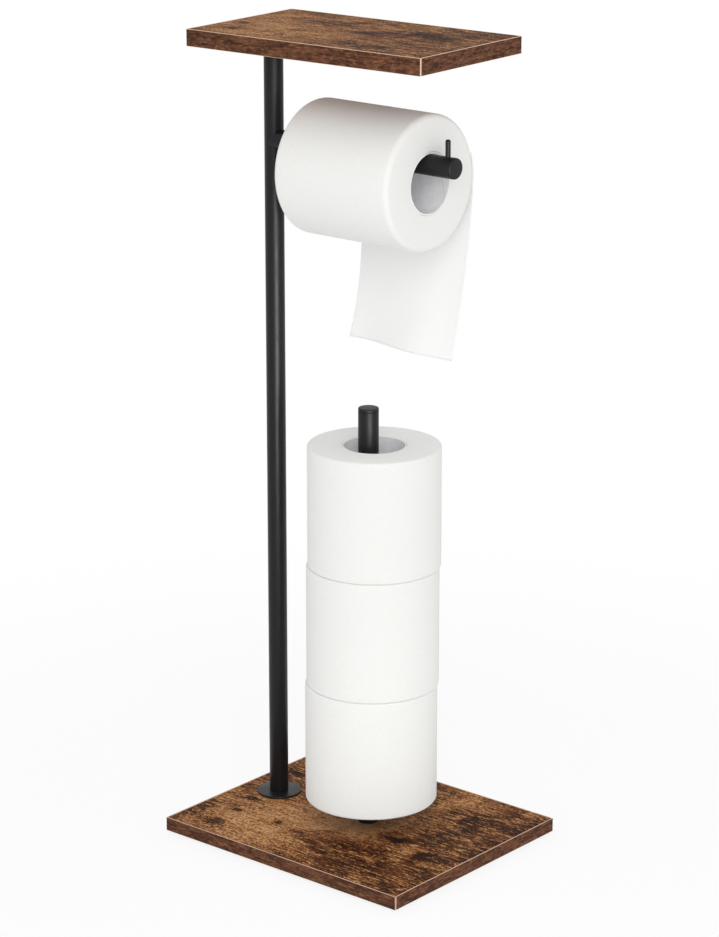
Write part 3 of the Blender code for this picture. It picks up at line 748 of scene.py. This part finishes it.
# %% Where the light and dark places of the boards are
BASE_PATCHES = [
    (-0.070, -0.058, 0.150, 0.110, 0.26),
    (-0.050, -0.072, 0.090, 0.060, 0.14),
    (-0.050, -0.028, 0.090, 0.040, 0.18),
    (0.083, 0.047, 0.060, 0.040, 0.12),
    # Round the foot of the stack: pale print, made paler still as painted light that offsets
    # the stack's shade on the board
    (0.020, 0.004, 0.070, 0.080, 0.40),
    (0.008, -0.020, 0.084, 0.034, 0.24),
    (0.040, 0.085, 0.070, 0.046, 0.20),
    (-0.105, 0.045, 0.050, 0.080, 0.12),
    (0.074, -0.026, 0.030, 0.018, 0.26),
    (0.036, 0.060, 0.030, 0.022, 0.12),
    (0.092, 0.064, 0.100, 0.012, -0.16),
    (0.028, 0.070, 0.010, 0.036, -0.22),
    (0.075, 0.010, 0.110, 0.080, -0.09),
    (0.075, -0.075, 0.130, 0.070, -0.09),
    (-0.022, -0.026, 0.040, 0.016, -0.14),
    (0.047, -0.014, 0.038, 0.022, -0.42),
    (0.002, -0.060, 0.050, 0.024, -0.16),
    (0.034, -0.058, 0.026, 0.024, -0.34),
    (0.088, -0.042, 0.018, 0.016, -0.26),
    (-0.120, -0.070, 0.014, 0.050, -0.24),
]
BASE_KNOTS = [
    (-0.088, -0.085, 0.018, 0.014, 0.9),
    (-0.099, -0.028, 0.013, 0.007, 0.8),
    (-0.091, -0.054, 0.008, 0.006, 0.8),
    (-0.046, -0.052, 0.006, 0.008, 0.7),
    (0.092, -0.030, 0.020, 0.015, 0.8),
    (0.056, -0.017, 0.012, 0.009, 0.6),
    (0.073, 0.053, 0.008, 0.012, 0.5),
    (0.091, 0.041, 0.014, 0.013, 0.4),
    (-0.102, 0.038, 0.014, 0.011, 0.6),
]
SHELF_PATCHES = [
    (-0.060, -0.030, 0.140, 0.075, 0.30),
    (-0.095, 0.030, 0.060, 0.070, 0.18),
    (0.000, 0.045, 0.110, 0.040, 0.16),
    (0.080, 0.000, 0.090, 0.130, -0.05),
    (0.030, 0.010, 0.050, 0.030, -0.24),
    (-0.040, 0.028, 0.050, 0.020, -0.20),
    (0.040, -0.050, 0.060, 0.020, -0.20),
]
SHELF_KNOTS = [
    (-0.088, -0.040, 0.009, 0.007, 0.6),
    (-0.040, -0.042, 0.008, 0.007, 0.6),
    (-0.100, -0.015, 0.012, 0.009, 0.7),
    (0.060, 0.022, 0.020, 0.014, 0.7),
    (-0.020, 0.040, 0.011, 0.009, 0.7),
]

SHELF_TURN = radians(2.6)
base_middle = middle("base_board")
shelf_middle = middle("shelf_board")
BASE_BOARD = laminate("laminate_base", (0, 0, base_middle.z), 0, BASE_PATCHES, BASE_KNOTS)
SHELF_BOARD = laminate(
    "laminate_shelf", shelf_middle, SHELF_TURN, SHELF_PATCHES, SHELF_KNOTS
)
print("Patches and knots:", len(BASE_PATCHES + SHELF_PATCHES), len(BASE_KNOTS + SHELF_KNOTS))

# %% [markdown]
# ## Edge bands
#
# The boards' edges are covered with a plastic band printed in a darker, redder wood.
# Where the band is trimmed, its pale tan core shows as a thin line along the top and at
# the front corner, a little paler on the shelf than on the base. The band is a thin box,
# so the print goes only where a point lies in its outer skin, and every other point gets
# the core's colour.

# %% Band material
BAND_PRINT = shade(114, 74, 54)
BAND_DARK = shade(68, 42, 31)
BAND_CORES = {"base": shade(203, 171, 148), "shelf": shade(226, 194, 168)}
PRINT_DEPTH = 0.00022           # how far in from the band's face its print shows
BAND_AXIS = {"front": (0, -1, 0), "back": (0, 1, 0), "left": (-1, 0, 0), "right": (1, 0, 0)}


def band_material(board, side, half, centre, turn):
    """The band on one side of a board, whose outer skin lies half a board away."""
    name = board + "_band_" + side
    material, tree, shader = new_material(name, BAND_PRINT, 0.6)
    shader.inputs["Specular IOR Level"].default_value = 0.08
    place = board_place(tree, centre, turn)
    inputs = {0: place, 1: BAND_AXIS[side]}
    dot = put(tree, "ShaderNodeVectorMath", inputs, operation="DOT_PRODUCT")
    depth = maths(tree, "SUBTRACT", half, dot.outputs["Value"])
    inside = fade(tree, depth, PRINT_DEPTH / 2, PRINT_DEPTH)

    along = stretched(tree, place, (0.28, 0.28, 1.5))
    cloud = speckle(tree, 190, 7.0, along, 0.80)
    colour = blend_colours(tree, fade(tree, cloud, 0.40, 0.60), BAND_DARK, BAND_PRINT)
    fleck = speckle(tree, 520, 4.0, stretched(tree, place, (0.35, 0.35, 1.2)), 0.75)
    colour = blend_colours(tree, fade(tree, fleck, 0.50, 0.64, 0.0, 0.6), colour, DEEP_BROWN)
    colour = blend_colours(tree, fade(tree, fleck, 0.46, 0.34, 0.0, 0.4), colour, OCHRE)
    colour = blend_colours(tree, inside, colour, BAND_CORES[board])
    tree.links.new(colour, shader.inputs["Base Color"])
    raise_skin(tree, shader, fleck, 0.00006, 0.4)
    return material


def paint(node, material):
    """Give a CAD node its finish."""
    nodes[node].data.materials.clear()
    nodes[node].data.materials.append(material)


BASE_SIZE = (0.252, 0.210)
SHELF_SIZE = (0.232, 0.134)
boards = {
    "base": (BASE_SIZE, (0, 0, base_middle.z), 0, BASE_BOARD),
    "shelf": (SHELF_SIZE, shelf_middle, SHELF_TURN, SHELF_BOARD),
}
for board, (size, centre, turn, top) in boards.items():
    paint(board + "_board", top)
    for side, (x, y, z) in BAND_AXIS.items():
        half = size[0] / 2 if x else size[1] / 2
        paint(board + "_band_" + side, band_material(board, side, half, centre, turn))
print("Painted the boards and their bands")

# %% [markdown]
# ## Small steel and rubber pieces
#
# The feet, bolts, washers, inserts and screws, the plate under the shelf and the plug in
# the pole keep their CAD solids and only get a finish: foam rubber, zinc plate, black
# plastic or the same black coat as the tubes. Nodes that a turned piece has replaced are
# painted too, which does no harm.

# %% Finish the small pieces
SMALL_FINISHES = {
    "foam": FOAM,
    "zinc": ZINC,
    "black_coat": COAT,
    "black_plastic": PLASTIC,
}
finished = 0
for part in frame["record"]["subparts"]:
    if part["material_slot"] in SMALL_FINISHES:
        paint(part["node"], SMALL_FINISHES[part["material_slot"]])
        finished += 1
print("Nodes with a plain finish:", finished)

# %% [markdown]
# ## Tissue and card
#
# Tissue is white, quite rough and slightly soft to light. On the outside of a roll it
# shows a fine crepe, and on the ends the edges of hundreds of layers as faint rings. A
# point attribute tells the shader which faces are the ends. The core is pale card with
# the spiral seam of its winding.

# %% Tissue and card materials
TISSUE = shade(240, 240, 238)
LAYER_PITCH = 0.0006            # from ring to ring on a roll's end
CARD = shade(248, 248, 249)
SEAM_PITCH = 0.062              # how far the seam climbs in one turn


def soften(shader):
    """The dull and slightly fuzzy surface of tissue."""
    shader.inputs["Specular IOR Level"].default_value = 0.2
    shader.inputs["Sheen Weight"].default_value = 0.08
    shader.inputs["Sheen Roughness"].default_value = 0.6


def tissue(name, axis_place, axis):
    """Wound tissue round an axis through a point. Ends show rings and sides a crepe."""
    material, tree, shader = new_material(name, TISSUE, 0.95)
    inputs = {0: object_place(tree), 1: axis_place}
    place = put(tree, "ShaderNodeVectorMath", inputs, operation="SUBTRACT").outputs[0]
    across = stretched(tree, place, tuple(1 - abs(part) for part in axis))
    radius = put(tree, "ShaderNodeVectorMath", {0: across}, operation="LENGTH")
    radius = radius.outputs["Value"]
    wander = maths(tree, "MULTIPLY", speckle(tree, 60, 2.0, place), 0.0012)
    turns = maths(tree, "DIVIDE", maths(tree, "ADD", radius, wander), LAYER_PITCH)
    rings = maths(tree, "SINE", maths(tree, "MULTIPLY", turns, 2 * pi))
    rings = maths(tree, "MULTIPLY", rings, speckle(tree, 220, 2.0, place))
    end = put(tree, "ShaderNodeAttribute", attribute_name="end").outputs["Fac"]
    fibre = speckle(tree, 700, 3.0, place, 0.65)
    height = maths(tree, "ADD", fibre, maths(tree, "MULTIPLY", rings, end))
    raise_skin(tree, shader, height, 0.00010, 0.35)
    soft = blend_colours(tree, fade(tree, fibre, 0.3, 0.7), shade(236, 236, 233), TISSUE)
    layered = maths(tree, "MULTIPLY", fade(tree, rings, 0.1, 0.6), end)
    layered = maths(tree, "MULTIPLY", layered, 0.35)
    soft = blend_colours(tree, layered, soft, shade(222, 222, 218))
    tree.links.new(soft, shader.inputs["Base Color"])
    soften(shader)
    return material


def card():
    """Pale card whose spiral seam runs up the core, read from its own UV map."""
    material, tree, shader = new_material("card", CARD, 0.85)
    uv = put(tree, "ShaderNodeUVMap", uv_map="unrolled").outputs["UV"]
    parts = put(tree, "ShaderNodeSeparateXYZ", {0: uv}).outputs
    turn = maths(tree, "ADD", parts["X"], maths(tree, "DIVIDE", parts["Y"], SEAM_PITCH))
    gap = maths(tree, "PINGPONG", turn, 0.5)
    seam = fade(tree, gap, 0.012, 0.004)
    fibre = speckle(tree, 900, 3.0)
    cloud = speckle(tree, 120, 3.0)
    colour = blend_colours(tree, fade(tree, cloud, 0.35, 0.65), CARD, shade(241, 241, 243))
    dark = maths(tree, "MULTIPLY", seam, 0.35)
    colour = blend_colours(tree, dark, colour, shade(205, 203, 208))
    tree.links.new(colour, shader.inputs["Base Color"])
    raise_skin(tree, shader, maths(tree, "SUBTRACT", fibre, seam), 0.0001, 0.4)
    return material


CARD_STOCK = card()
print("Finish of the cores:", CARD_STOCK.name)

# %% [markdown]
# ## The rolls
#
# A roll is a ring of paper round a card tube. Its rims are rounded, because the outer
# layers give when the roll is handled, and its sides are never quite true. The outline is
# spun with many sides, and then noise pushes every outer point in by a fraction of a
# millimetre, so that the silhouette stays inside the CAD solid. The CAD leaves a gap
# between two stacked rolls, but paper settles on paper, so the upper rolls reach further
# down and the seams between them nearly close.

# %% Roll pieces
ROLL_SIDES = 160
CORE_WALL = 0.0012
CORE_RECESS = 0.0005
BORE_EDGE = 0.0008
SAG = 0.0003                    # deepest hollow in a roll's side
SAG_GRAIN = 30                  # hollows to the metre, or so
SAG_STRETCH = 0.6               # a hollow is longer than it is wide
SETTLE = 0.00025                # how far a roll reaches into the gap below it
SIDE_STEPS = 12
RIM_STEPS = 8


def unroll(form, radius):
    """A UV map with the turn in U, one unit to a full turn, and the height in V."""
    layer = form.loops.layers.uv.new("unrolled")
    for face in form.faces:
        heart = face.calc_center_median()
        home = atan2(heart.y, heart.x)
        for loop in face.loops:
            turn = atan2(loop.vert.co.y, loop.vert.co.x) - home
            turn -= 2 * pi * round(turn / (2 * pi))
            loop[layer].uv = ((home + turn) / (2 * pi), loop.vert.co.z)


def paper_form(radius, bore, length, edge, seed):
    """The wound paper, about Z from height 0 up, slightly out of true."""
    inner = bore + CORE_WALL
    plain = length - 2 * edge
    side = [(radius, edge + plain * step / SIDE_STEPS) for step in range(1, SIDE_STEPS)]
    outline = rounded(
        [(inner, 0), (radius, 0), (radius, length), (inner, length)],
        (BORE_EDGE, edge, edge, BORE_EDGE),
        steps=RIM_STEPS,
    )
    half = len(outline) // 2
    form = turned(outline[:half] + side + outline[half:], ROLL_SIDES)
    ends = form.verts.layers.float.new("end")
    for vertex in form.verts:
        away = Vector((vertex.co.x, vertex.co.y, 0))
        depth = min(vertex.co.z, length - vertex.co.z)
        vertex[ends] = 1 - min(depth / edge, 1)
        if away.length > (inner + radius) / 2:
            spot = Vector((vertex.co.x, vertex.co.y, vertex.co.z * SAG_STRETCH))
            wave = noise.noise(spot * SAG_GRAIN + seed)
            push = SAG * (0.5 + 0.5 * wave) * (1 - 0.5 * vertex[ends])
            vertex.co -= away.normalized() * push
    return form


def roll_pieces(node, place, body, edge, material, seed, settle=0.0):
    """The paper and the core of one roll, sized by the node's own solids."""
    low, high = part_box(node + "_paper")
    across = (high.y - low.y) / 2
    along = high.x - low.x if body == "roll_in_use" else high.z - low.z
    core_low, core_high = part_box(node + "_core")
    bore = (core_high.y - core_low.y) / 2 - CORE_WALL
    form = paper_form(across, bore, along + settle, edge, Vector((seed, seed, seed)))
    form.transform(Matrix.Translation((0, 0, -settle)))
    finish_piece(
        node + "_wound", form, place, material, "wound_tissue", body, node + "_paper"
    )
    outline = tube_outline(
        bore + CORE_WALL - TUBE_EDGE, bore, CORE_RECESS, along - CORE_RECESS, TUBE_EDGE
    )
    form = turned(outline, ROLL_SIDES)
    unroll(form, bore)
    finish_piece(node + "_tube", form, place, CARD_STOCK, "card", body, node + "_core")


USED_EDGE = 0.0045
SPARE_EDGE = 0.0018
used_low, used_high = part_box("roll_in_use_paper")
used_middle = middle("roll_in_use_paper")
used_tissue = tissue("tissue_roll_in_use", used_middle, (1, 0, 0))
used_place = lying(used_low.x, used_middle.y, used_middle.z)
roll_pieces("roll_in_use", used_place, "roll_in_use", USED_EDGE, used_tissue, 3.0)

for number in (1, 2, 3):
    node = "spare_roll_%d" % number
    low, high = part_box(node + "_paper")
    centre = middle(node + "_paper")
    spare_tissue = tissue("tissue_" + node, centre, (0, 0, 1))
    spare_place = upright(centre.x, centre.y, low.z)
    settle = SETTLE if number > 1 else 0.0
    roll_pieces(node, spare_place, node, SPARE_EDGE, spare_tissue, 7.0 * number, settle)

# %% [markdown]
# ## The hanging sheet
#
# The loose end leaves the back of the roll, hangs straight for a while and then swings
# in, more on the open side than on the pole's side. It ends at a torn perforation, so its
# lower edge has small teeth. A grid is bent by the same two edge curves and gentle folds
# as the CAD solid, with a little crumple added. Solidify gives it its thickness.

# %% Sheet form
SHEET_DROP = 0.150
SHEET_MARGIN = 0.0008
SHEET_CURL = (0.0167, 0.0284)   # on the pole's side and on the open side
SHEET_BEND = (3.7, 1.6)         # how late the curl sets in: higher is lower down
SHEET_WAVE = 0.0025
WAVE_WIDTH_SHARE = 0.8          # of the sheet's width, from one fold to the next
WAVE_START_SHARE = 0.21         # of the sheet's width, from its left edge to a fold
SHEET_LAP = radians(18)
LAP_LENGTH = 0.0174             # the same along the roll, for the sheet's UV map
SHEET_THICKNESS = 0.0003
SHEET_GAP = 0.0003              # from the roll to the sheet
SHEET_CRUMPLE = 0.0006
CRUMPLE_ACROSS = 40             # how fine the crumple is, along the roll
CRUMPLE_DOWN = 4                # how fine it is down the sheet
CRUMPLE_SEED = 5.0
TOOTH_PITCH = 0.0023
TOOTH_DEPTH = 0.0007
TOOTH_GRAIN = 25                # how soon the depth of the teeth changes
TOOTH_SEED = 9.0
SHEET_COLUMNS = 200
SHEET_ROWS = 72
LAP_SHARE = 0.10                # of the rows, lying on the roll
SINK = 0.0006                   # how far the lap's end dips, through the gap into the roll

used_radius = used_middle.z - used_low.z
used_length = used_high.x - used_low.x


def sheet_point(across, down):
    """A point of the sheet, from its two shares across and down."""
    along = SHEET_MARGIN + (used_length - 2 * SHEET_MARGIN) * across
    reach = used_radius + SHEET_GAP
    if down < LAP_SHARE:
        share = 1 - down / LAP_SHARE
        angle = SHEET_LAP * share
        reach -= SINK * share ** 2
        return Vector((along, reach * cos(angle), reach * sin(angle)))
    fall = (down - LAP_SHARE) / (1 - LAP_SHARE)
    curl = SHEET_CURL[0] + (SHEET_CURL[1] - SHEET_CURL[0]) * across
    bend = SHEET_BEND[0] + (SHEET_BEND[1] - SHEET_BEND[0]) * across
    turn = 2 * pi * (across - WAVE_START_SHARE) / WAVE_WIDTH_SHARE
    fold = SHEET_WAVE * cos(turn) * fall ** 2
    spot = Vector((along * CRUMPLE_ACROSS, fall * CRUMPLE_DOWN, CRUMPLE_SEED))
    crumple = noise.noise(spot) * SHEET_CRUMPLE * fall
    out = reach - curl * fall ** bend + fold + crumple
    return Vector((along, out, -SHEET_DROP * fall))


form = bmesh.new()
bmesh.ops.create_grid(form, x_segments=SHEET_COLUMNS, y_segments=SHEET_ROWS, size=0.5)
uv = form.loops.layers.uv.new("sheet")
for face in form.faces:
    for loop in face.loops:
        across, down = loop.vert.co.x + 0.5, 0.5 - loop.vert.co.y
        loop[uv].uv = (across * used_length, down * (SHEET_DROP + LAP_LENGTH))
for vertex in form.verts:
    across, down = vertex.co.x + 0.5, 0.5 - vertex.co.y
    point = sheet_point(across, down)
    if down > 1 - 0.5 / SHEET_ROWS:
        phase = across * used_length / TOOTH_PITCH
        tooth = abs(phase - floor(phase) - 0.5) * 2
        uneven = 0.6 + 0.4 * noise.noise(Vector((across * TOOTH_GRAIN, 0, TOOTH_SEED)))
        point.z -= TOOTH_DEPTH * (tooth - 1) * uneven
    vertex.co = point + Vector((used_low.x, used_middle.y, used_middle.z))
bmesh.ops.recalc_face_normals(form, faces=form.faces)

# %% Sheet material and piece
def sheet_tissue():
    """A single sheet: the crepe of tissue, read from the sheet's own UV map. Its colours are
    painted paler than the roll's, as painted light in place of the light that a single
    sheet lets through from behind."""
    material, tree, shader = new_material("tissue_sheet_painted_light", TISSUE, 0.95)
    flat = put(tree, "ShaderNodeUVMap", uv_map="sheet").outputs["UV"]
    fibre = speckle(tree, 700, 3.0, flat, 0.65)
    crepe = speckle(tree, 500, 2.0, stretched(tree, flat, (0.15, 1, 1)))
    # Painted light: both colours are paler than the roll's tissue, standing in for light
    # through the single sheet
    soft = blend_colours(
        tree, fade(tree, fibre, 0.3, 0.7), shade(247, 247, 246), shade(252, 252, 251)
    )
    tree.links.new(soft, shader.inputs["Base Color"])
    raise_skin(tree, shader, maths(tree, "ADD", fibre, crepe), 0.0001, 0.35)
    soften(shader)
    return material


sheet = finish_piece(
    "hanging_sheet",
    form,
    Matrix(),
    sheet_tissue(),
    "loose_tissue",
    "stand",
    "roll_in_use_tail",
)
solidify = sheet.modifiers.new("thickness", "SOLIDIFY")
solidify.thickness = SHEET_THICKNESS
solidify.offset = 1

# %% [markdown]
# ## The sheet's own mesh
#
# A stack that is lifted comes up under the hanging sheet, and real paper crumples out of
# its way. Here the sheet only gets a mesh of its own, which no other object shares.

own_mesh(sheet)
